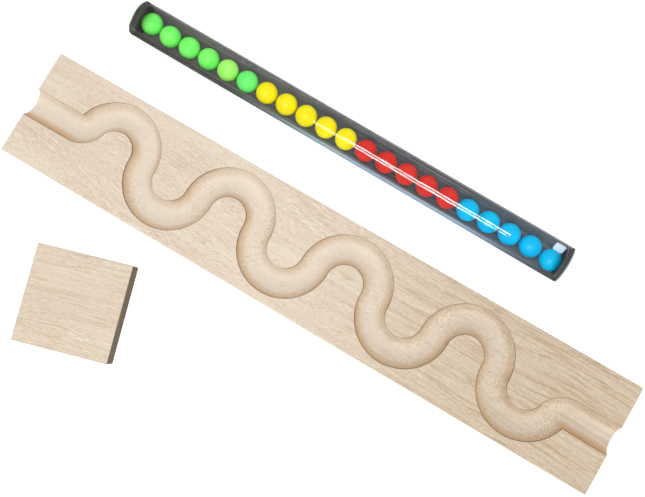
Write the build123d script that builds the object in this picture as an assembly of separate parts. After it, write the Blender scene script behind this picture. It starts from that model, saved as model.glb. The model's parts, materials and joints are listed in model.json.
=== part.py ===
from build123d import *
import math
import os

# Marble run set, laid out flat: a beech track plank with a serpentine ball groove, a square
# block that props up one end of the plank, and a clear storage tube with its row of balls.
# Millimetres. +X runs along the plank, +Z is up, and everything rests on the plane z = 0.
# The origin is the middle of the plank's underside.

# Track plank
PLANK_LENGTH = 600.0
PLANK_WIDTH = 104.0
BOARD_THICKNESS = 18.0
EDGE_ROUND = 0.8

# Ball groove, cut by a round-nosed cutter along a chain of half circles, with straight ends
CUTTER_RADIUS = 13.5
GROOVE_DEPTH = 11.0
BEND_RADIUS = 30.3
BEND_COUNT = 8
BENDS_SHIFT = 3.0  # from the plank's middle to the middle of the chain, along +X
CORNER_RADIUS = 14.5  # where a straight end turns into the chain

# Support block, from the same board as the plank
BLOCK_SIDE = 90.0
BLOCK_CENTRE = (-167.7, -137.3)
BLOCK_TURN = 16.5  # degrees about +Z

# Balls, in the order they lie in the tube
BALL_DIAMETER = 20.0
BALL_COLOURS = (("green", 6), ("yellow", 5), ("red", 5), ("blue", 5))
BALL_LIFT = 0.3  # free space between a ball and the bore it lies in
END_BALL_ROLL = 22.0  # degrees that the two end balls have rolled up the bore, on opposite sides

# Storage tube and its two push-in end plugs
TUBE_DIAMETER = 34.0
TUBE_WALL = 2.0
TUBE_LENGTH = 443.6
TUBE_CENTRE = (-31.3, 114.3)
TUBE_TURN = -0.77  # degrees about +Z
TUBE_EDGE = 0.3
FIRST_BALL_GAP = 0.4
PLUG_FLANGE = 1.2
PLUG_SKIRT_LENGTH = 4.0
PLUG_SKIRT_WALL = 1.2
PLUG_FIT = 0.05  # radial clearance of the skirt in the bore
PLUG_EDGE = 0.4

OUT_FOLDER = "parts"


def track_plank():
    """The board with its eased edges, less the groove."""
    board = Box(
        PLANK_LENGTH,
        PLANK_WIDTH,
        BOARD_THICKNESS,
        align=(Align.CENTER, Align.CENTER, Align.MIN),
    )
    return fillet(board.edges(), EDGE_ROUND) - groove()


def groove():
    """The space that the cutter clears: a chain of bends, and at each end a corner and a straight run."""
    reach = math.sqrt(BEND_RADIUS**2 + 2 * BEND_RADIUS * CORNER_RADIUS)
    corner_angle = math.degrees(math.atan2(CORNER_RADIUS, reach))
    half_chain = BEND_COUNT * BEND_RADIUS
    corner_x = half_chain - BEND_RADIUS + reach
    cuts = []
    for i in range(BEND_COUNT):
        centre_x = (2 * i + 1) * BEND_RADIUS - half_chain
        sweep = 180 - corner_angle if i in (0, BEND_COUNT - 1) else 180
        bend = Torus(BEND_RADIUS, CUTTER_RADIUS, major_angle=sweep, align=None)
        cuts.append(Pos(centre_x, 0, 0) * Rot(0, 0, 180 * (i % 2)) * bend)
    corner = Torus(CORNER_RADIUS, CUTTER_RADIUS, major_angle=90 - corner_angle, align=None)
    for side in (-1, 1):
        end_x = side * PLANK_LENGTH / 2 - BENDS_SHIFT
        run = abs(end_x) + CUTTER_RADIUS - corner_x
        straight = Rot(0, 90, 0) * Cylinder(CUTTER_RADIUS, run)
        cuts.append(Pos(side * corner_x, -side * CORNER_RADIUS, 0) * Rot(0, 0, side * 90) * corner)
        cuts.append(Pos(side * (corner_x + run / 2), 0, 0) * straight)
    cutter_height = BOARD_THICKNESS - GROOVE_DEPTH + CUTTER_RADIUS
    return [Pos(BENDS_SHIFT, 0, cutter_height) * cut for cut in cuts]


def support_block():
    """A square block with eased edges, lying beside the plank."""
    block = Box(
        BLOCK_SIDE,
        BLOCK_SIDE,
        BOARD_THICKNESS,
        align=(Align.CENTER, Align.CENTER, Align.MIN),
    )
    place = Pos(*BLOCK_CENTRE, 0) * Rot(0, 0, BLOCK_TURN)
    return place * fillet(block.edges(), EDGE_ROUND)


def tube_place():
    """Local +X runs along the tube's axis from its middle, and local +Z is up."""
    return Pos(*TUBE_CENTRE, TUBE_DIAMETER / 2) * Rot(0, 0, TUBE_TURN)


def ball_tube():
    """The plain clear tube, open at both ends."""
    outside = Cylinder(TUBE_DIAMETER / 2, TUBE_LENGTH)
    outside = chamfer(outside.edges(), TUBE_EDGE)
    bore = Cylinder(TUBE_DIAMETER / 2 - TUBE_WALL, TUBE_LENGTH)
    return tube_place() * Rot(0, 90, 0) * (outside - bore)


def end_plug(side):
    """A flange that closes the tube's end, with a short hollow skirt in the bore. side is -1 or 1."""
    skirt_radius = TUBE_DIAMETER / 2 - TUBE_WALL - PLUG_FIT
    flange = Cylinder(TUBE_DIAMETER / 2, PLUG_FLANGE, align=(Align.CENTER, Align.CENTER, Align.MIN))
    flange = fillet(flange.edges().group_by(Axis.Z)[-1], PLUG_EDGE)
    skirt = Cylinder(skirt_radius, PLUG_SKIRT_LENGTH, align=(Align.CENTER, Align.CENTER, Align.MAX))
    skirt = chamfer(skirt.edges().group_by(Axis.Z)[0], PLUG_EDGE)
    hollow = Cylinder(
        skirt_radius - PLUG_SKIRT_WALL,
        PLUG_SKIRT_LENGTH,
        align=(Align.CENTER, Align.CENTER, Align.MAX),
    )
    plug = flange + skirt - hollow
    return tube_place() * Pos(side * TUBE_LENGTH / 2, 0, 0) * Rot(0, side * 90, 0) * plug


def ball(index, count):
    """Ball number index, from the tube's -X end. The gaps between the balls are all the same."""
    gap = (TUBE_LENGTH - FIRST_BALL_GAP - count * BALL_DIAMETER) / count
    first = -TUBE_LENGTH / 2 + FIRST_BALL_GAP + BALL_DIAMETER / 2
    along = first + index * (BALL_DIAMETER + gap)
    roll = {0: END_BALL_ROLL, count - 1: -END_BALL_ROLL}.get(index, 0.0)
    drop = TUBE_DIAMETER / 2 - TUBE_WALL - BALL_DIAMETER / 2 - BALL_LIFT
    return tube_place() * Rot(roll, 0, 0) * Pos(along, 0, -drop) * Sphere(BALL_DIAMETER / 2)


def balls():
    """Every ball by its node name, numbered within its colour."""
    names = [f"ball_{colour}_{n + 1}" for colour, amount in BALL_COLOURS for n in range(amount)]
    return {name: ball(index, len(names)) for index, name in enumerate(names)}


parts = {
    "track_plank": track_plank(),
    "support_block": support_block(),
    "ball_tube": ball_tube(),
    "end_plug_left": end_plug(-1),
    "end_plug_right": end_plug(1),
    **balls(),
}

os.makedirs(OUT_FOLDER, exist_ok=True)
for name, shape in parts.items():
    export_step(shape, f"{OUT_FOLDER}/{name}.step")
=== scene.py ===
"""Looks for the wooden marble run: grooved beech plank, beech block, and a clear tube of lacquered balls."""

import json
import math

import bmesh
import bpy
import numpy as np
from mathutils import Euler, Matrix, Vector, geometry


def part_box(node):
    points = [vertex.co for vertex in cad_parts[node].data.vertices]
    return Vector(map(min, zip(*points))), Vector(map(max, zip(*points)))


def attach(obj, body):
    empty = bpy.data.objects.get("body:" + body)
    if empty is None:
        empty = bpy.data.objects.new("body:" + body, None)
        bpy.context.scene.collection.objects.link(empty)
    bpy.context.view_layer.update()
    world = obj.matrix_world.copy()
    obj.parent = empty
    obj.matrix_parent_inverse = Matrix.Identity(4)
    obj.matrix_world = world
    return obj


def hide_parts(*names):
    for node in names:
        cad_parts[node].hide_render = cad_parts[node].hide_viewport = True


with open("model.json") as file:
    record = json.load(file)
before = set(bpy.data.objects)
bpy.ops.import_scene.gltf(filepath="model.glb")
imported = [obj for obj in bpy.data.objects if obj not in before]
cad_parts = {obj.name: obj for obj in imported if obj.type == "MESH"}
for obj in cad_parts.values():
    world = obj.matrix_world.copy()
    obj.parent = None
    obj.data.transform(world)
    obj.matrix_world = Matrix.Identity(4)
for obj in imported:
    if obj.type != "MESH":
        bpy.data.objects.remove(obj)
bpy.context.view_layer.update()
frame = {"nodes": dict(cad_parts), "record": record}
NODES = frame["nodes"]
JOINTS = {joint["name"]: joint for joint in frame["record"]["behaviour"]["joints"]}
MM = 0.001


# ---------------------------------------------------------------- shader helpers


class Shader:
    """A material's node tree, with short calls for the nodes used here."""

    def __init__(self, name):
        self.material = bpy.data.materials.new(name)
        self.material.use_nodes = True
        self.tree = self.material.node_tree
        self.tree.nodes.clear()
        self.out = self.tree.nodes.new("ShaderNodeOutputMaterial")

    def put(self, socket, value):
        if isinstance(value, bpy.types.NodeSocket):
            self.tree.links.new(value, socket)
        elif value is not None:
            socket.default_value = value

    def node(self, kind, inputs=None, **props):
        made = self.tree.nodes.new("ShaderNode" + kind)
        for key, value in props.items():
            setattr(made, key, value)
        for key, value in (inputs or {}).items():
            self.put(made.inputs[key], value)
        return made

    def math(self, operation, a, b=None, c=None):
        made = self.node("Math", {0: a}, operation=operation)
        if b is not None:
            self.put(made.inputs[1], b)
        if c is not None:
            self.put(made.inputs[2], c)
        return made.outputs[0]

    def linear(self, value, slope, start):
        """A value times a slope, plus a start."""
        return self.math("MULTIPLY_ADD", value, slope, start)

    def dot(self, a, b):
        return self.node("VectorMath", {0: a, 1: b}, operation="DOT_PRODUCT").outputs["Value"]

    def times(self, *factors):
        product = factors[0]
        for factor in factors[1:]:
            product = self.math("MULTIPLY", product, factor)
        return product

    def step(self, value, low, high, to_low=0.0, to_high=1.0):
        """Smooth step from low to high, or down again if low is the larger."""
        ends = {"From Min": low, "From Max": high, "To Min": to_low, "To Max": to_high}
        made = self.node("MapRange", {"Value": value, **ends}, interpolation_type="SMOOTHSTEP")
        return made.outputs["Result"]

    def mix(self, factor, a, b):
        made = self.node("Mix", data_type="RGBA", clamp_factor=True)
        self.put(made.inputs[0], factor)
        self.put(made.inputs[6], a)
        self.put(made.inputs[7], b)
        return made.outputs[2]

    def scaled(self, vector, x, y, z):
        return self.node("VectorMath", {0: vector, 1: (x, y, z)}, operation="MULTIPLY").outputs[0]

    def moved(self, vector, x, y, z):
        return self.node("VectorMath", {0: vector, 1: (x, y, z)}, operation="ADD").outputs[0]

    def noise(self, vector, detail=2.0, roughness=0.5, distortion=0.0):
        inputs = {"Vector": vector, "Scale": 1.0, "Detail": detail, "Roughness": roughness}
        return self.node("TexNoise", {**inputs, "Distortion": distortion}).outputs["Fac"]

    def split(self, vector):
        return self.node("SeparateXYZ", {0: vector}).outputs

    def join(self, x, y, z):
        return self.node("CombineXYZ", {0: x, 1: y, 2: z}).outputs[0]

    def bump(self, height, distance, strength=1.0):
        inputs = {"Height": height, "Distance": distance, "Strength": strength}
        return self.node("Bump", inputs).outputs[0]

    def attribute(self, name):
        return self.node("Attribute", attribute_name=name).outputs["Fac"]

    def object_point(self):
        return self.node("TexCoord").outputs["Object"]

    def blend(self, factor, a, b):
        return self.node("MixShader", {0: factor, 1: a, 2: b}).outputs[0]

    def finish(self, surface):
        self.tree.links.new(surface, self.out.inputs["Surface"])
        return self.material


def rgb(r, g, b):
    """Linear colour from sRGB values of 0 to 255."""
    parts = [value / 255 for value in (r, g, b)]
    linear = [c / 12.92 if c <= 0.04045 else ((c + 0.055) / 1.055) ** 2.4 for c in parts]
    return (*linear, 1.0)


# ---------------------------------------------------------------- beech

WOOD_LIGHT = rgb(215, 203, 184)
WOOD_DARK = rgb(194, 178, 156)
WOOD_PINK = rgb(212, 195, 179)
WOOD_LINE = rgb(168, 144, 115)
WOOD_FLECK = rgb(150, 124, 96)
WOOD_SHEEN = rgb(230, 220, 204)
END_GRAIN_AND_SHADE_LIGHT = rgb(128, 115, 96)
END_GRAIN_AND_SHADE_DARK = rgb(92, 80, 64)
SHADE_BROWN = rgb(112, 80, 52)
WARM_SHADE_AND_END_GRAIN = rgb(210, 174, 128)
ORANGE_SHADE = rgb(196, 148, 98)
MILKY = rgb(226, 216, 202)
RING_WIDTH = 3.3
BOLD_FROM, BOLD_TO = -60.0, 230.0  # the grain grows stronger between these places along the plank
ENDS_FROM, ENDS_TO = 232.0, 262.0  # the bends pass into the straight ends here


def late_wood(s, seeded, grain, seed):
    """The dark part of each growth ring in a flat-sawn board, cut near the rings' middle."""
    _, across, up = s.split(grain)
    sway = s.noise(s.scaled(seeded, 0.005, 0.014, 0.014), 2.0)
    u = s.math("ADD", s.linear(sway, 52.0, -36.0 - seed * 91.0), across)
    v = s.math("ADD", s.linear(sway, 18.0, 44.0 - seed * 53.0), up)
    ring = s.math("SQRT", s.math("ADD", s.times(u, u), s.times(v, v)))
    ring = s.math("FRACT", s.math("DIVIDE", ring, RING_WIDTH))
    return s.times(s.step(ring, 0.25, 0.86), s.step(ring, 1.0, 0.9))


def groove_wear_and_shade(s, tone, local, facing_end, x, bold, seeded, depth, inside):
    """What the cutter left in the groove, and painted shade on its walls and rim: the new tone, and the
    height of its marks.
    """
    # the walls that face away from the light get painted shade, and those that face it get little
    shade_side = s.step(s.dot(local, (0.26, 0.97, 0)), 0.05, 0.75)
    lit_side = s.step(s.dot(local, (-0.37, -0.93, 0)), 0.35, 0.80)
    cut_across = s.times(inside, s.step(facing_end, 0.15, 0.9))

    # the floor is paler, and the walls get a warm painted shade, most on the side that faces away from the
    # light
    cloud = s.noise(s.scaled(seeded, 0.05, 0.05, 0.05), 2.0)
    milky = s.times(s.linear(cloud, 0.6, 0.30), s.linear(bold, -0.40, 1.0))
    milky = s.mix(milky, tone, MILKY)
    tone = s.mix(s.times(inside, s.step(depth, 11.0, 6.0)), tone, milky)
    near_rim = s.times(inside, s.step(depth, 6.5, 12.6))
    tone = s.mix(s.times(near_rim, s.linear(shade_side, 0.46, 0.05)), tone, WARM_SHADE_AND_END_GRAIN)
    # walls facing the plank's ends are warmer, partly as end grain and partly as painted shade, which the
    # side facing the light doesn't get
    tone = s.mix(s.times(cut_across, s.linear(lit_side, -0.30, 0.30)), tone, WARM_SHADE_AND_END_GRAIN)
    # the lower wall of the straight ends gets a wider orange painted shade
    near_end = s.step(s.math("ABSOLUTE", x), ENDS_FROM, ENDS_TO)
    end_wall_shade = s.times(inside, near_end, shade_side, s.step(depth, 3.0, 12.0), 0.38)
    tone = s.mix(end_wall_shade, tone, ORANGE_SHADE)
    # painted shade: dark brown near the rim, on walls facing the plank's ends except those facing the light,
    # and on walls facing away from it
    shaded = s.times(facing_end, s.math("SUBTRACT", 1.0, lit_side), 0.30)
    shaded = s.math("MAXIMUM", shaded, s.times(shade_side, 0.13))
    tone = s.mix(s.times(inside, s.step(depth, 10.2, 12.9), shaded), tone, SHADE_BROWN)

    # torn marks across the cutter's path, in patches, mostly where it went across the grain
    path = s.join(s.attribute("groove_s"), s.times(depth, 0.35), 0.0)
    mark = s.noise(s.scaled(path, 1.1, 0.9, 1.0), 2.0, 0.6, 0.6)
    fuzz = s.noise(s.scaled(seeded, 0.9, 0.9, 0.9), 2.0, 0.65)
    torn = s.step(s.noise(s.scaled(seeded, 0.024, 0.024, 0.024), 1.0), 0.42, 0.58)
    torn = s.times(torn, inside, s.linear(s.attribute("groove_cross"), 0.75, 0.25))
    tone = s.mix(s.times(torn, s.step(mark, 0.50, 0.66), 0.62), tone, WOOD_LINE)
    tone = s.mix(s.times(torn, s.step(fuzz, 0.52, 0.36), 0.72), tone, WOOD_SHEEN)

    # the rim gets a thin dark line of painted shade, strongest where the wall faces away from the light
    rim = s.times(s.step(depth, 12.75, 13.2), s.step(depth, 13.8, 13.5))
    side = s.linear(lit_side, -0.46, s.linear(shade_side, 0.27, 0.62))
    tone = s.mix(s.times(rim, side), tone, SHADE_BROWN)
    return tone, s.times(torn, s.linear(mark, 2.2, s.times(fuzz, 1.6)))


def beech(name, turn=0.0, seed=0.0, grooved=False):
    """Sanded beech with its grain along X turned by an angle about Z. Texture lengths are in millimetres."""
    s = Shader(name)
    placing = {"Vector": s.object_point(), "Rotation": (0, 0, -turn), "Scale": (1 / MM, 1 / MM, 1 / MM)}
    place = s.node("Mapping", placing, vector_type="POINT").outputs[0]
    x = s.split(place)[0]
    seeded = s.moved(place, seed * 37.0, seed * 91.0, seed * 53.0)

    # the grain wanders slightly across the board
    wander = s.linear(s.noise(s.scaled(seeded, 0.016, 0.045, 0.045), 2.0), 7.0, -3.5)
    grain = s.node("VectorMath", {0: seeded, 1: s.join(0.0, wander, 0.0)}, operation="ADD").outputs[0]

    late = late_wood(s, seeded, grain, seed)
    broad = s.noise(s.scaled(seeded, 0.007, 0.03, 0.03), 2.0)
    streak = s.noise(s.scaled(grain, 0.007, 0.33, 0.33), 3.0, 0.6)
    line = s.noise(s.scaled(grain, 0.014, 0.75, 0.75), 2.0, 0.6)
    dash = s.noise(s.scaled(grain, 0.19, 1.0, 1.0), 2.0, 0.6, 0.5)
    # thin lines follow the middle level of a stretched noise
    thread = s.noise(s.scaled(grain, 0.0065, 0.17, 0.17), 2.0, 0.55)
    thread = s.math("ABSOLUTE", s.math("SUBTRACT", thread, 0.5))
    skewed = {"Vector": seeded, "Rotation": (0, 0, math.radians(11))}
    skewed = s.node("Mapping", skewed, vector_type="POINT").outputs[0]
    feather = s.noise(s.scaled(skewed, 0.055, 0.42, 0.42), 2.0, 0.55, 0.9)
    feather = s.math("ABSOLUTE", s.math("SUBTRACT", feather, 0.5))
    patch = s.step(s.noise(s.scaled(seeded, 0.022, 0.034, 0.034), 1.0), 0.40, 0.60)
    fleck = s.noise(s.scaled(grain, 0.40, 3.6, 3.6), 1.0, 0.5)
    pore = s.noise(s.scaled(seeded, 1.1, 9.0, 9.0), 1.0, 0.5)

    # one end of the plank is plainer and paler than the other
    bold = s.step(x, BOLD_FROM, BOLD_TO) if grooved else 0.25
    tone = s.mix(s.step(broad, 0.30, 0.72), WOOD_LIGHT, WOOD_PINK)
    tone = s.mix(s.linear(bold, 0.90, 0.01), tone, WOOD_DARK)
    tone = s.mix(s.times(s.step(streak, 0.45, 0.75), s.linear(bold, 0.14, 0.16)), tone, WOOD_LINE)
    tone = s.mix(s.times(late, s.linear(bold, 0.16, 0.05)), tone, WOOD_LINE)
    tone = s.mix(s.times(s.step(line, 0.50, 0.68), s.linear(bold, 0.30, 0.05)), tone, WOOD_LINE)
    tone = s.mix(s.times(s.step(thread, 0.035, 0.006), s.linear(bold, 0.62, 0.10)), tone, WOOD_LINE)
    plain = s.linear(bold, -0.55, 1.0)
    tone = s.mix(s.times(s.step(feather, 0.055, 0.012), patch, plain, 0.30), tone, WOOD_LINE)
    tone = s.mix(s.times(s.step(feather, 0.10, 0.22), patch, plain, 0.45), tone, WOOD_SHEEN)
    tone = s.mix(s.times(s.step(dash, 0.53, 0.68), 0.22), tone, WOOD_LINE)
    tone = s.mix(s.times(s.step(dash, 0.46, 0.32), 0.28), tone, WOOD_SHEEN)
    tone = s.mix(s.times(s.step(fleck, 0.58, 0.68), 0.40), tone, WOOD_FLECK)

    # end grain is darker, with pores instead of flecks, and its tone is dark enough to be painted shade on
    # the end faces too
    normal = s.node("NewGeometry").outputs["Normal"]
    turning = {"vector_type": "NORMAL", "convert_from": "WORLD", "convert_to": "OBJECT"}
    local = s.node("VectorTransform", {0: normal}, **turning).outputs[0]
    facing_end = s.math("ABSOLUTE", s.dot(local, (math.cos(turn), math.sin(turn), 0)))
    end = s.step(facing_end, 0.55, 0.95)
    speckle = s.noise(s.scaled(seeded, 5.0, 5.0, 5.0), 2.0, 0.6)
    end_grain_and_shade_tone = s.mix(s.step(speckle, 0.42, 0.64), END_GRAIN_AND_SHADE_LIGHT, END_GRAIN_AND_SHADE_DARK)
    end_grain_and_shade_tone = s.mix(s.times(late, 0.4), end_grain_and_shade_tone, END_GRAIN_AND_SHADE_DARK)

    height = s.linear(fleck, 0.6, s.linear(dash, 0.5, s.times(pore, 0.35)))
    rough = s.linear(line, 0.10, 0.54)
    if grooved:
        depth = s.attribute("groove_d")
        inside = s.step(depth, 13.45, 12.9)
        end = s.times(end, s.math("SUBTRACT", 1.0, inside))
        tone, marks = groove_wear_and_shade(s, tone, local, facing_end, x, bold, seeded, depth, inside)
        height = s.math("ADD", height, marks)
        rough = s.linear(inside, 0.08, rough)
    tone = s.mix(end, tone, end_grain_and_shade_tone)
    finish = {"Base Color": tone, "Roughness": rough, "Specular IOR Level": 0.3}
    wood = s.node("BsdfPrincipled", {**finish, "Normal": s.bump(height, 0.00009, 0.8)})
    return s.finish(wood.outputs[0])


# ---------------------------------------------------------------- pieces


def add_object(name, mesh, body, material, slot_name, *replaced):
    """An object that rides a body, in a material slot, in place of the CAD nodes that it replaces."""
    made = bpy.data.objects.new(name, mesh)
    bpy.context.scene.collection.objects.link(made)
    mesh.materials.append(material)
    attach(made, body)
    if replaced:
        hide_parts(*replaced)
    return made


WELD = 0.02 * MM


def tidy_mesh(mesh, degrees):
    """Points at the same place joined, faces turned outwards, and smooth shading up to an angle."""
    work = bmesh.new()
    work.from_mesh(mesh)
    bmesh.ops.remove_doubles(work, verts=work.verts, dist=WELD)
    bmesh.ops.recalc_face_normals(work, faces=work.faces)
    loose = sum(not edge.is_manifold for edge in work.edges)
    work.to_mesh(mesh)
    work.free()
    mesh.shade_smooth()
    mesh.set_sharp_from_angle(angle=math.radians(degrees))
    print(mesh.name, len(mesh.polygons), "faces,", loose, "open edges")


def dress(node, material):
    """Gives a CAD node's own mesh a material."""
    mesh = NODES[node].data
    mesh.materials.clear()
    mesh.materials.append(material)


# ---------------------------------------------------------------- the plank's mesh, in millimetres

plank_low, plank_high = (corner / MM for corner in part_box("track_plank"))
LENGTH = plank_high.x - plank_low.x
WIDTH = plank_high.y - plank_low.y
THICK = plank_high.z - plank_low.z
CUTTER = 13.5  # radius of the round cutter
CUTTER_Z = THICK + 2.5  # height of its centre
BEND = 30.3  # centreline radius of the bends
BENDS = 8
SHIFT = 3.0  # the chain of bends sits this far right of the plank's middle
CORNER = 14.5  # radius of the corner between a straight end and the bends
EASE = 0.45  # radius of the groove's sanded rim
EDGE = 0.8  # radius of the board's edges
EDGE_STEPS = (0.0, 0.06, 0.23, 0.49, 0.8, 1.25)  # distances in from the board's edge
# distances from the centreline: where the rim ends, where it meets the wall, and where the flat top starts
EASE_D = math.sqrt((CUTTER + EASE) ** 2 - (CUTTER_Z - THICK + EASE) ** 2)
MEET_D = EASE_D * CUTTER / (CUTTER + EASE)
BAND_D = EASE_D + EASE
WALL_ROWS = (0, 2, 4, 6, 7.8, 9.3, 10.5, 11.4, 12.1, 12.6, 12.95)
RIM_ROWS = tuple(MEET_D + (EASE_D - MEET_D) * t for t in (0, 0.22, 0.5, 0.75, 1.0))
ROWS = WALL_ROWS + RIM_ROWS + (BAND_D,)
SHARP = 38  # degrees
TINY = 1e-6


def groove_height(d):
    """Height of the top face at distance d from the groove's centreline, with its rim eased."""
    cut = CUTTER_Z - np.sqrt(np.maximum(CUTTER**2 - np.minimum(d, MEET_D) ** 2, 0))
    eased = THICK - EASE + np.sqrt(np.maximum(EASE**2 - (d - EASE_D) ** 2, 0))
    return np.where(d < MEET_D, cut, np.where(d < EASE_D, eased, THICK))


def edge_height(e):
    """Height of the top face at distance e inside the board's outline."""
    return THICK - EDGE + np.sqrt(np.maximum(EDGE**2 - (EDGE - np.clip(e, 0, EDGE)) ** 2, 0))


def outline_distance(x, y):
    """Distance inside the board's outline, whose corners are rounded."""
    qx = np.abs(x) - (LENGTH / 2 - EDGE)
    qy = np.abs(y) - (WIDTH / 2 - EDGE)
    return EDGE - np.hypot(np.maximum(qx, 0), np.maximum(qy, 0)) - np.minimum(np.maximum(qx, qy), 0)


def groove_arcs():
    """The centreline's arcs as (centre x, centre y, radius, first angle, last angle)."""
    reach = math.sqrt(BEND**2 + 2 * BEND * CORNER)
    meet = math.atan2(CORNER, reach)
    first = SHIFT - BENDS * BEND + BEND
    last = SHIFT + BENDS * BEND - BEND
    arcs = [(first - reach, CORNER, CORNER, -math.pi / 2, -meet)]
    for i in range(BENDS):
        start = math.pi if i % 2 == 0 else -math.pi
        start = math.pi - meet if i == 0 else start
        stop = -meet if i == BENDS - 1 else 0.0
        arcs.append((first + 2 * i * BEND, 0.0, BEND, start, stop))
    arcs.append((last + reach, -CORNER, CORNER, math.pi - meet, math.pi / 2))
    return arcs


def groove_row(side, d):
    """One row of points at distance d from the centreline: side 1 is its +Y side, -1 the other."""
    arcs = groove_arcs()
    half = LENGTH / 2
    row = []
    left = np.concatenate([EDGE_STEPS, np.linspace(EDGE_STEPS[-1], half + arcs[0][0], 32)[1:-1]])
    row += [(-half + step, side * d) for step in left]
    for cx, cy, radius, start, stop in arcs:
        offset = radius - side * d * math.copysign(1, stop - start)
        count = max(18, round(abs(stop - start) * radius / 1.4))
        for angle in np.linspace(start, stop, count + 1)[0 if cx == arcs[0][0] else 1 :]:
            row.append((cx + offset * math.cos(angle), cy + offset * math.sin(angle)))
    right = np.concatenate([EDGE_STEPS, np.linspace(EDGE_STEPS[-1], half - arcs[-1][0], 32)[1:-1]])
    row += [(half - step, side * d) for step in right[::-1]]
    return np.array(row)


def outline_row(side, e):
    """The board's outline on one side of the groove, moved in by e, from left to right."""
    x0, y1 = LENGTH / 2 - e, WIDTH / 2 - e
    ax, ay, radius = LENGTH / 2 - EDGE, WIDTH / 2 - EDGE, EDGE - e
    if radius < TINY:
        row = [(-x0, BAND_D), (-x0, y1), (x0, y1), (x0, BAND_D)]
        return [(px, py * side) for px, py in row]
    corner = [(radius * math.sin(t), radius * math.cos(t)) for t in np.linspace(0, math.pi / 2, 6)]
    row = [(-x0, y) for y in np.linspace(BAND_D, ay, 9)[:-1]]
    row += [(-ax - cx, ay + cy) for cx, cy in corner[::-1]]
    row += [(x, y1) for x in np.linspace(-ax, ax, 61)[1:-1]]
    row += [(ax + cx, ay + cy) for cx, cy in corner]
    row += [(x0, y) for y in np.linspace(ay, BAND_D, 9)[1:]]
    return [(px, py * side) for px, py in row]


class PlankMesh:
    """The plank as one closed mesh. Its points carry distances from and along the groove for the shader."""

    def __init__(self):
        self.verts, self.faces, self.index = [], [], {}
        self.distance, self.station, self.cross = [], [], []

    def vertex(self, x, y, z, distance=BAND_D, station=0.0, cross=0.0):
        key = (round(x, 4), round(y, 4), round(z, 4))
        if key not in self.index:
            self.index[key] = len(self.verts)
            self.verts.append((x * MM, y * MM, z * MM))
            self.distance.append(distance)
            self.station.append(station)
            self.cross.append(cross)
        return self.index[key]

    def face(self, corners):
        kept = list(dict.fromkeys(corners))
        if len(kept) > 2:
            self.faces.append(kept)

    def add_groove(self, side):
        """Strips between rows of points at set distances from the centreline, on one side of it."""
        centre = groove_row(1, 0.0)
        run = np.concatenate([[0], np.cumsum(np.hypot(*np.diff(centre, axis=0).T))])
        heading = np.gradient(centre, axis=0)
        steep = np.abs(heading[:, 1]) / np.maximum(np.hypot(*heading.T), TINY)
        grid = []
        for d in ROWS:
            row = groove_row(side, d)
            level = np.minimum(groove_height(d), edge_height(outline_distance(row[:, 0], row[:, 1])))
            places = zip(row, level, run, steep)
            grid.append([self.vertex(*p, h, d, along, cross) for p, h, along, cross in places])
        for a, b in zip(grid, grid[1:]):
            for k in range(len(a) - 1):
                self.face((a[k], a[k + 1], b[k + 1], b[k]))

    def add_top(self, side):
        """The flat top on one side of the groove, with rows of points along the rounded edge."""
        points, edges = [], []

        def chain(row):
            start = len(points)
            points.extend(Vector((float(px), float(py))) for px, py in row)
            edges.extend((start + k, start + k + 1) for k in range(len(row) - 1))

        ring = [tuple(p) for p in groove_row(side, BAND_D)] + outline_row(side, 0.0)[::-1][1:-1]
        chain(ring)
        edges.append((len(ring) - 1, 0))
        for e in EDGE_STEPS[1:]:
            chain(outline_row(side, e))
        found = geometry.delaunay_2d_cdt(points, edges, [list(range(len(ring)))], 1, 1e-5)
        flat = np.array([tuple(p) for p in found[0]])
        level = edge_height(outline_distance(flat[:, 0], flat[:, 1]))
        ids = [self.vertex(px, py, h) for (px, py), h in zip(flat, level)]
        for triangle in found[2]:
            self.face([ids[i] for i in triangle])

    def add_walls(self):
        """Walls, rounded lower edges and underside, which follow the outline all round."""
        half, wide = LENGTH / 2, WIDTH / 2
        across = sorted([-d for d in ROWS[1:-1]] + list(ROWS[:-1]))
        loop = outline_row(1, 0.0) + [(half, y) for y in across[::-1]]
        loop += outline_row(-1, 0.0)[::-1] + [(-half, y) for y in across]
        rings = [[]]
        for px, py in loop:
            notch = abs(py) < BAND_D - TINY
            level = min(float(groove_height(abs(py))), THICK - EDGE) if notch else THICK - EDGE
            rings[0].append(self.vertex(px, py, level, abs(py) if notch else BAND_D))
        for e in EDGE_STEPS[:-1]:
            ring = []
            for px, py in loop:
                qx, qy = max(abs(px) - half + EDGE, 0), max(abs(py) - wide + EDGE, 0)
                pull = e / max(math.hypot(qx, qy), TINY)
                x, y = px - math.copysign(qx * pull, px), py - math.copysign(qy * pull, py)
                ring.append(self.vertex(x, y, THICK - float(edge_height(e))))
            rings.append(ring)
        for a, b in zip(rings, rings[1:]):
            for k in range(len(a)):
                self.face((a[k - 1], a[k], b[k], b[k - 1]))
        self.face(rings[-1])

    def made(self):
        for side in (1, -1):
            self.add_groove(side)
        for side in (1, -1):
            self.add_top(side)
        self.add_walls()
        mesh = bpy.data.meshes.new("plank_board")
        mesh.from_pydata(self.verts, [], self.faces)
        carried = {"groove_d": self.distance, "groove_s": self.station, "groove_cross": self.cross}
        for name, values in carried.items():
            layer = mesh.attributes.new(name, "FLOAT", "POINT")
            layer.data.foreach_set("value", np.array(values, np.float32))
        tidy_mesh(mesh, SHARP)
        return mesh


BLOCK_TURN = math.radians(16.5)
plank_beech = beech("beech_plank", seed=1.0, grooved=True)
add_object("plank_board", PlankMesh().made(), "plank", plank_beech, "beech", "track_plank")
dress("support_block", beech("beech_block", turn=BLOCK_TURN, seed=4.0))


# ---------------------------------------------------------------- balls


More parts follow.
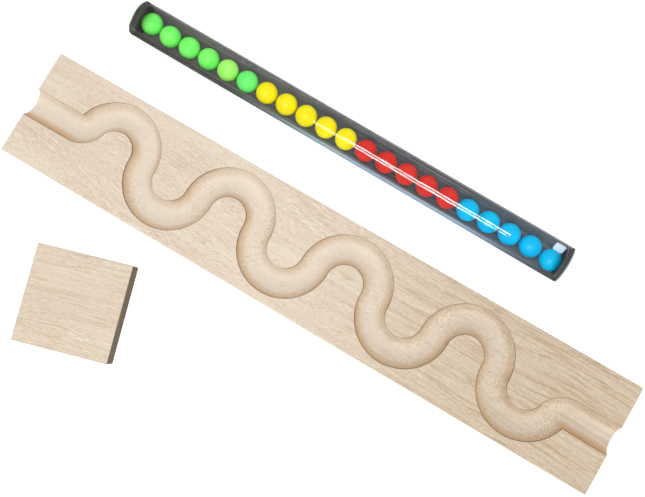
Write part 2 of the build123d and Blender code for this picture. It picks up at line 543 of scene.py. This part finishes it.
def lacquer(name, colour, deep, seed):
    """Glossy paint over a turned wooden ball, slightly uneven, with a faint grain."""
    s = Shader(name)
    where = s.moved(s.object_point(), seed, seed * 0.7, 0)
    cloud = s.noise(s.scaled(where, 90, 90, 90), 2.0, 0.5)
    grain = s.noise(s.scaled(where, 260, 1500, 1500), 2.0, 0.6)
    orange_peel = s.noise(s.scaled(where, 420, 420, 420), 2.0)
    tone = s.mix(s.times(s.step(cloud, 0.35, 0.7), 0.5), colour, deep)
    tone = s.mix(s.times(s.step(grain, 0.54, 0.74), 0.2), tone, deep)
    finish = {
        "Base Color": tone,
        "Roughness": s.linear(cloud, 0.16, 0.26),
        "Specular IOR Level": 0.22,
        "Coat Weight": 0.09,
        "Coat Roughness": 0.12,
        "Normal": s.bump(s.linear(grain, 0.35, orange_peel), 0.00010, 0.6),
    }
    return s.finish(s.node("BsdfPrincipled", finish).outputs[0])


PAINTS = {
    "green": lacquer("green_lacquer", rgb(130, 253, 112), rgb(92, 244, 90), 0.11),
    "yellow": lacquer("yellow_lacquer", rgb(255, 240, 14), rgb(255, 224, 6), 0.23),
    "red": lacquer("red_lacquer", rgb(230, 58, 46), rgb(206, 34, 28), 0.37),
    "blue": lacquer("blue_lacquer", rgb(0, 198, 248), rgb(0, 170, 236), 0.41),
}
for name in NODES:
    if name.startswith("ball_") and name != "ball_tube":
        dress(name, PAINTS[name.split("_")[1]])
dress("ball_green_5", lacquer("green_lacquer_warm", rgb(172, 253, 116), rgb(140, 244, 88), 0.17))
dress("ball_green_6", lacquer("green_lacquer_cool", rgb(116, 250, 122), rgb(84, 240, 100), 0.19))


# ---------------------------------------------------------------- tube, plugs and label

tube_low, tube_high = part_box("ball_tube")
ALONG = Vector(JOINTS["plug_right_pull"]["axis"])
ASIDE = Vector((-ALONG.y, ALONG.x, 0))
UP = Vector((0, 0, 1))
TUBE_MIDDLE = (tube_low + tube_high) / 2
TUBE_R = (tube_high.z - tube_low.z) / 2
TUBE_HALF = ((tube_high.x - tube_low.x) - 2 * TUBE_R * abs(ALONG.y)) / ALONG.x / 2
WALL = 2 * MM
BORE_R = TUBE_R - WALL
TUBE_EDGE = 0.3 * MM
ROUND_SHARP = 35  # degrees


def tube_point(along, radius, angle):
    """A point by its distance along the tube's axis from its middle, radius, and angle from the top."""
    return TUBE_MIDDLE + ALONG * along + radius * (ASIDE * math.sin(angle) + UP * math.cos(angle))


def turned_mesh(name, profile, segments=192):
    """A closed profile of (along, radius) points turned about the tube's axis, one ring for each."""
    verts, faces = [], []
    for along, radius in profile:
        if radius == 0:
            verts.append([tube_point(along, 0, 0)])
        else:
            verts.append([tube_point(along, radius, math.tau * k / segments) for k in range(segments)])
    start = np.cumsum([0] + [len(ring) for ring in verts])
    for i in range(len(profile)):
        j = (i + 1) % len(profile)
        if len(verts[i]) == len(verts[j]) == 1:
            continue
        for k in range(segments):
            corners = [
                start[i] + k % len(verts[i]),
                start[i] + (k + 1) % segments % len(verts[i]),
                start[j] + (k + 1) % segments % len(verts[j]),
                start[j] + k % len(verts[j]),
            ]
            faces.append([int(c) for c in dict.fromkeys(corners)])
    mesh = bpy.data.meshes.new(name)
    mesh.from_pydata([p for ring in verts for p in ring], [], faces)
    tidy_mesh(mesh, ROUND_SHARP)
    return mesh


def tube_profile():
    ends = TUBE_HALF - TUBE_EDGE
    stations = np.linspace(-ends, ends, 13)
    outside = [(x, TUBE_R) for x in stations]
    right = [(TUBE_HALF, TUBE_R - TUBE_EDGE), (TUBE_HALF, BORE_R)]
    inside = [(x, BORE_R) for x in stations[::-1]]
    left = [(-TUBE_HALF, BORE_R), (-TUBE_HALF, TUBE_R - TUBE_EDGE)]
    return outside + right + inside + left


FLANGE = 1.2 * MM
SKIRT = 4.0 * MM
SKIRT_R = BORE_R - 0.05 * MM
SKIRT_WALL = 1.2 * MM
PLUG_EDGE = 0.4 * MM


def plug_profile(side):
    """Flange with a rounded rim outside the tube's end, and a short hollow skirt in the bore."""
    turns = [(1 - math.sin(t), 1 - math.cos(t)) for t in np.linspace(0, math.pi / 2, 6)]
    rim = [(FLANGE - PLUG_EDGE * back, TUBE_R - PLUG_EDGE * drop) for back, drop in turns]
    skirt = [(-SKIRT, SKIRT_R - SKIRT_WALL), (-SKIRT, SKIRT_R - PLUG_EDGE), (-SKIRT + PLUG_EDGE, SKIRT_R)]
    inner = [(0, 0), (0, SKIRT_R - SKIRT_WALL)] + skirt + [(0, SKIRT_R), (0, TUBE_R)]
    profile = inner + rim + [(FLANGE, 0)]
    return [(side * (TUBE_HALF + along), radius) for along, radius in profile]


CLEAR = (0.975, 0.98, 0.98, 1)
SMOKE = (0.19, 0.17, 0.17, 1)
SMOKE_RIGHT = (0.15, 0.18, 0.20, 1)
SMOKE_SHADE = (0.09, 0.086, 0.08, 1)
SMOKE_CLOUD = (0.06, 0.06, 0.065, 1)
SMOKE_LINE = (0.36, 0.38, 0.39, 1)
SHEEN = (0.67, 0.84, 0.98, 1)
HAZE_COVER = 0.93
HAZE_PAINTED_GLOW = 0.22
# heights and distances aside from the axis, from none to full
HAZE_HEIGHTS = (20.5 * MM, 12.5 * MM)
SHADE_ASIDE = (-8.0 * MM, -13.0 * MM)
SHEEN_ASIDE = (-11.0 * MM, -13.6 * MM)
SHEEN_LEFT = (-0.16, -0.03)
SHEEN_RIGHT = (0.18, 0.08)


def clear_plastic(name, smoke, far_smoke, gloss_at_front, gloss_at_edge, seed, milky=0.0):
    """Clear plastic whose lower half looks smoke-grey, with light scuffs and a glossy skin."""
    s = Shader(name)
    where = s.moved(s.object_point(), seed, 0, 0)
    x, _, height = s.split(s.object_point())
    low = s.math("MAXIMUM", s.step(height, *HAZE_HEIGHTS), milky)
    aside = s.dot(s.moved(s.object_point(), *-TUBE_MIDDLE), ASIDE)
    cloud = s.noise(s.scaled(where, 9, 60, 60), 2.0, 0.5)
    scuff = s.noise(s.scaled(where, 30, 700, 700), 3.0, 0.6)
    clear = s.node("BsdfTransparent", {"Color": CLEAR}).outputs[0]
    shift = s.step(x, TUBE_MIDDLE.x - TUBE_HALF * 0.8, TUBE_MIDDLE.x + TUBE_HALF * 0.2)
    # painted shade: the smoke is darker towards the tube's -Y side
    tone = s.mix(s.step(aside, *SHADE_ASIDE), smoke, SMOKE_SHADE)
    tone = s.mix(shift, tone, far_smoke)
    tone = s.mix(s.times(s.step(cloud, 0.35, 0.7), 0.3), tone, SMOKE_CLOUD)
    drawn = s.noise(s.scaled(where, 7, 420, 420), 2.0, 0.6)
    tone = s.mix(s.times(s.step(drawn, 0.52, 0.68), 0.55 * (1 - milky)), tone, SMOKE_LINE)
    # a painted bluish reflection along one side, in the middle of the tube
    sheen = s.times(s.step(aside, *SHEEN_ASIDE), s.step(x, *SHEEN_LEFT), s.step(x, *SHEEN_RIGHT))
    tone = s.mix(s.times(sheen, s.linear(cloud, 0.4, 0.76)), tone, SHEEN)
    # the haze also glows, as painted light that lifts its dark grey
    glow = {"Emission Color": tone, "Emission Strength": HAZE_PAINTED_GLOW, "Specular IOR Level": 0.0}
    haze = s.node("BsdfPrincipled", {"Base Color": tone, "Roughness": 1.0, **glow}).outputs[0]
    body = s.blend(s.times(low, HAZE_COVER), clear, haze)
    rough = s.linear(s.step(scuff, 0.5, 0.8), 0.025, 0.022)
    skin = s.node("BsdfGlossy", {"Color": (1, 1, 1, 1), "Roughness": rough}).outputs[0]
    # reflection rises from its value face-on to a mirror's at a glancing angle, the same on both sides
    glance = s.math("POWER", s.node("LayerWeight", {"Blend": 0.5}).outputs["Facing"], 4.0)
    gloss = s.linear(glance, gloss_at_edge, gloss_at_front)
    return s.finish(s.blend(gloss, body, skin))


EDGE_GLOSS = 0.85
PLUG_TONES = ((0.07, 0.07, 0.06, 1), (0.08, 0.085, 0.09, 1))
# the plug rim's pale green is a painted highlight along its edge
RIM_TONES = ((0.62, 0.74, 0.64, 1), (0.3, 0.33, 0.34, 1))
OUTER = clear_plastic("clear_tube", SMOKE, SMOKE_RIGHT, 0.04, EDGE_GLOSS, seed=0.3)
INNER = clear_plastic("clear_bore", SMOKE, SMOKE_RIGHT, 0.0, 0.5, seed=0.6)
PLUG = clear_plastic("clear_plug", *PLUG_TONES, 0.04, EDGE_GLOSS, seed=0.9, milky=0.95)
PLUG_RIM = clear_plastic("clear_plug_rim", *RIM_TONES, 0.06, EDGE_GLOSS, seed=0.7, milky=0.85)


def second_material(piece, material, chosen):
    """Gives a second material to the faces whose distances along and from the tube's axis are chosen."""
    piece.data.materials.append(material)
    for polygon in piece.data.polygons:
        arm = polygon.center - TUBE_MIDDLE
        along = arm.dot(ALONG)
        polygon.material_index = int(chosen(abs(along), (arm - ALONG * along).length))


tube_mesh = turned_mesh("tube_shell", tube_profile())
tube = add_object("tube_shell", tube_mesh, "tube", OUTER, "clear_tube", "ball_tube")
second_material(tube, INNER, lambda along, radius: radius < BORE_R + WALL / 4)
for side, end in ((-1, "left"), (1, "right")):
    cap = turned_mesh(f"plug_cap_{end}", plug_profile(side), 128)
    cap = add_object(f"plug_cap_{end}", cap, f"plug_{end}", PLUG, "clear_plug", f"end_plug_{end}")
    second_material(cap, PLUG_RIM, lambda along, radius: along > TUBE_HALF and radius > TUBE_R - PLUG_EDGE)

LABEL_LENGTH = 9.5 * MM
LABEL_WIDTH = 10.5 * MM
LABEL_CORNER = 1.2 * MM
LABEL_THICK = 0.12 * MM
LABEL_FROM_END = 9.0 * MM
LABEL_ANGLE = math.radians(119)  # from the top of the bore
LABEL_GAP = 0.03 * MM
LABEL_ROWS = 25
LABEL_COLUMNS = 9
LABEL_PAINTED_GLOW = 0.60


def label_mesh():
    """A blank rounded label that lies against the bore near the tube's right end."""
    across = np.linspace(-LABEL_WIDTH / 2, LABEL_WIDTH / 2, LABEL_ROWS)
    sheets = []
    for radius in (BORE_R - LABEL_GAP, BORE_R - LABEL_GAP - LABEL_THICK):
        sheet = []
        for v in across:
            past = max(abs(v) - (LABEL_WIDTH / 2 - LABEL_CORNER), 0)
            reach = LABEL_LENGTH / 2 - LABEL_CORNER + math.sqrt(LABEL_CORNER**2 - past**2)
            for t in np.linspace(-1, 1, LABEL_COLUMNS):
                along = TUBE_HALF - LABEL_FROM_END + t * reach
                sheet.append(tube_point(along, radius, LABEL_ANGLE + v / BORE_R))
        sheets.append(sheet)
    count, wide = LABEL_ROWS * LABEL_COLUMNS, LABEL_COLUMNS
    faces = []
    for r in range(LABEL_ROWS - 1):
        for c in range(wide - 1):
            a = r * wide + c
            faces.append((a, a + 1, a + wide + 1, a + wide))
            faces.append(tuple(count + i for i in (a + wide, a + wide + 1, a + 1, a)))
    top = list(range(wide))
    right = [r * wide + wide - 1 for r in range(1, LABEL_ROWS)]
    bottom = [count - wide + c for c in range(wide - 2, -1, -1)]
    left = [r * wide for r in range(LABEL_ROWS - 2, 0, -1)]
    loop = top + right + bottom + left
    for k in range(len(loop)):
        a, b = loop[k - 1], loop[k]
        faces.append((a, b, count + b, count + a))
    mesh = bpy.data.meshes.new("label")
    mesh.from_pydata(sheets[0] + sheets[1], [], faces)
    tidy_mesh(mesh, ROUND_SHARP)
    return mesh


def label_paper():
    s = Shader("label_paper")
    fibre = s.noise(s.scaled(s.object_point(), 1500, 1500, 1500), 3.0, 0.6)
    tone = s.mix(s.step(fibre, 0.35, 0.7), rgb(244, 250, 255), rgb(228, 238, 250))
    # the label glows, as painted light that brightens it inside the tube
    glow = {"Emission Color": (0.8, 0.9, 1, 1), "Emission Strength": LABEL_PAINTED_GLOW}
    finish = {"Base Color": tone, "Roughness": s.linear(fibre, 0.2, 0.4), **glow}
    paper = s.node("BsdfPrincipled", {**finish, "Normal": s.bump(fibre, 0.00002, 0.5)})
    return s.finish(paper.outputs[0])


add_object("blank_label", label_mesh(), "tube", label_paper(), "clear_tube")


# ---------------------------------------------------------------- stage, lights and camera

FLOOR_HALF = 6.0
FLOOR_Z = -0.4 * MM
FLOOR_GLOW = 0.34
square = ((-1, -1), (1, -1), (1, 1), (-1, 1))
floor_mesh = bpy.data.meshes.new("floor")
floor_corners = [(x * FLOOR_HALF, y * FLOOR_HALF, FLOOR_Z) for x, y in square]
floor_mesh.from_pydata(floor_corners, [], [(0, 1, 2, 3)])
floor = bpy.data.objects.new("floor", floor_mesh)
bpy.context.scene.collection.objects.link(floor)
paper = Shader("floor_paper")
paper_finish = {"Base Color": (0.94, 0.94, 0.94, 1), "Roughness": 0.9, "Specular IOR Level": 0.1}
paper_glow = {"Emission Color": (1, 1, 1, 1), "Emission Strength": FLOOR_GLOW}
bright = paper.node("BsdfPrincipled", {**paper_finish, **paper_glow}).outputs[0]
# glossy surfaces see a darker floor, so the edges of the clear tube stand out against it
dull = paper.node("BsdfDiffuse", {"Color": (0.10, 0.10, 0.10, 1)}).outputs[0]
in_gloss = paper.node("LightPath").outputs["Is Glossy Ray"]
floor_mesh.materials.append(paper.finish(paper.blend(in_gloss, bright, dull)))

# an even pale surround, which the glossy surfaces see as dark
SURROUND = 1.14
SURROUND_IN_GLOSS = 0.03
world = bpy.data.worlds.new("studio")
world.use_nodes = True
sky = world.node_tree
sky.nodes.clear()
pale = sky.nodes.new("ShaderNodeBackground")
pale.inputs[0].default_value = (1.0, 0.995, 0.985, 1)
pale.inputs[1].default_value = SURROUND
dim = sky.nodes.new("ShaderNodeBackground")
dim.inputs[0].default_value = (0.9, 0.95, 1.0, 1)
dim.inputs[1].default_value = SURROUND_IN_GLOSS
ray = sky.nodes.new("ShaderNodeLightPath")
choice = sky.nodes.new("ShaderNodeMixShader")
sky_out = sky.nodes.new("ShaderNodeOutputWorld")
sky.links.new(ray.outputs["Is Glossy Ray"], choice.inputs[0])
sky.links.new(pale.outputs[0], choice.inputs[1])
sky.links.new(dim.outputs[0], choice.inputs[2])
sky.links.new(choice.outputs[0], sky_out.inputs[0])
bpy.context.scene.world = world


def area_light(name, place, target, size_x, size_y, radiance, colour=(1, 1, 1), glossy=True, diffuse=True):
    """An area light of a given radiance, pointed at a target, with its first side along X."""
    data = bpy.data.lights.new(name, "AREA")
    data.shape = "RECTANGLE"
    data.size = size_x
    data.size_y = size_y
    data.energy = radiance * math.pi * size_x * size_y
    data.color = colour
    lamp = bpy.data.objects.new(name, data)
    bpy.context.scene.collection.objects.link(lamp)
    back = (Vector(place) - Vector(target)).normalized()
    side = Vector((1, 0, 0))
    side = (side - back * side.dot(back)).normalized()
    turn = Matrix((side, back.cross(side), back)).transposed()
    lamp.matrix_world = Matrix.Translation(place) @ turn.to_4x4()
    lamp.visible_glossy = glossy
    lamp.visible_diffuse = diffuse
    lamp.visible_camera = False


area_light("key", (0.55, -1.10, 1.15), (0, 0, 0), 1.2, 1.2, 1.8, glossy=False)
# two narrow lamps and a soft one at their left end are the white streaks along the tube
LAMP_Z = 1.03
TUBE_AIM = (0.0, 0.11, 0.02)
STRIP = (0.412, 0.09)
area_light("strip_near", (0.029, -0.545, LAMP_Z), TUBE_AIM, *STRIP, 38.0, diffuse=False)
area_light("strip_far", (0.029, -0.205, LAMP_Z), TUBE_AIM, *STRIP, 33.0, diffuse=False)
cream = (1, 0.97, 0.8)
area_light("soft_end", (-0.224, -0.375, LAMP_Z), TUBE_AIM, 0.095, 0.30, 10.0, cream, diffuse=False)
# a card on the floor that only shows as a reflection along the far edge of the tube
card = Vector((-0.12, 0.33, 0.001))
cool = (0.95, 0.97, 1)
area_light("card_far", card, card + UP, 0.28, 0.08, 2.5, cool, diffuse=False)

# the camera was fitted to the outlines of the plank, block and tube: lens and sensor in millimetres
LENS = 44.6512
SENSOR = 36.0
CAMERA_PLACE = (0.06488, -0.03316, 0.72252)
CAMERA_ANGLES = (0.1071794, 0.0418958, 0.5313898)
camera_data = bpy.data.cameras.new("camera")
camera_data.sensor_width = SENSOR
camera_data.sensor_fit = "HORIZONTAL"
camera_data.lens = LENS
camera_data.clip_start = 0.01
camera = bpy.data.objects.new("camera", camera_data)
bpy.context.scene.collection.objects.link(camera)
camera.matrix_world = Matrix.LocRotScale(CAMERA_PLACE, Euler(CAMERA_ANGLES), None)
bpy.context.scene.camera = camera
bpy.context.scene.view_settings.view_transform = "Standard"
bpy.context.scene.view_settings.look = "None"
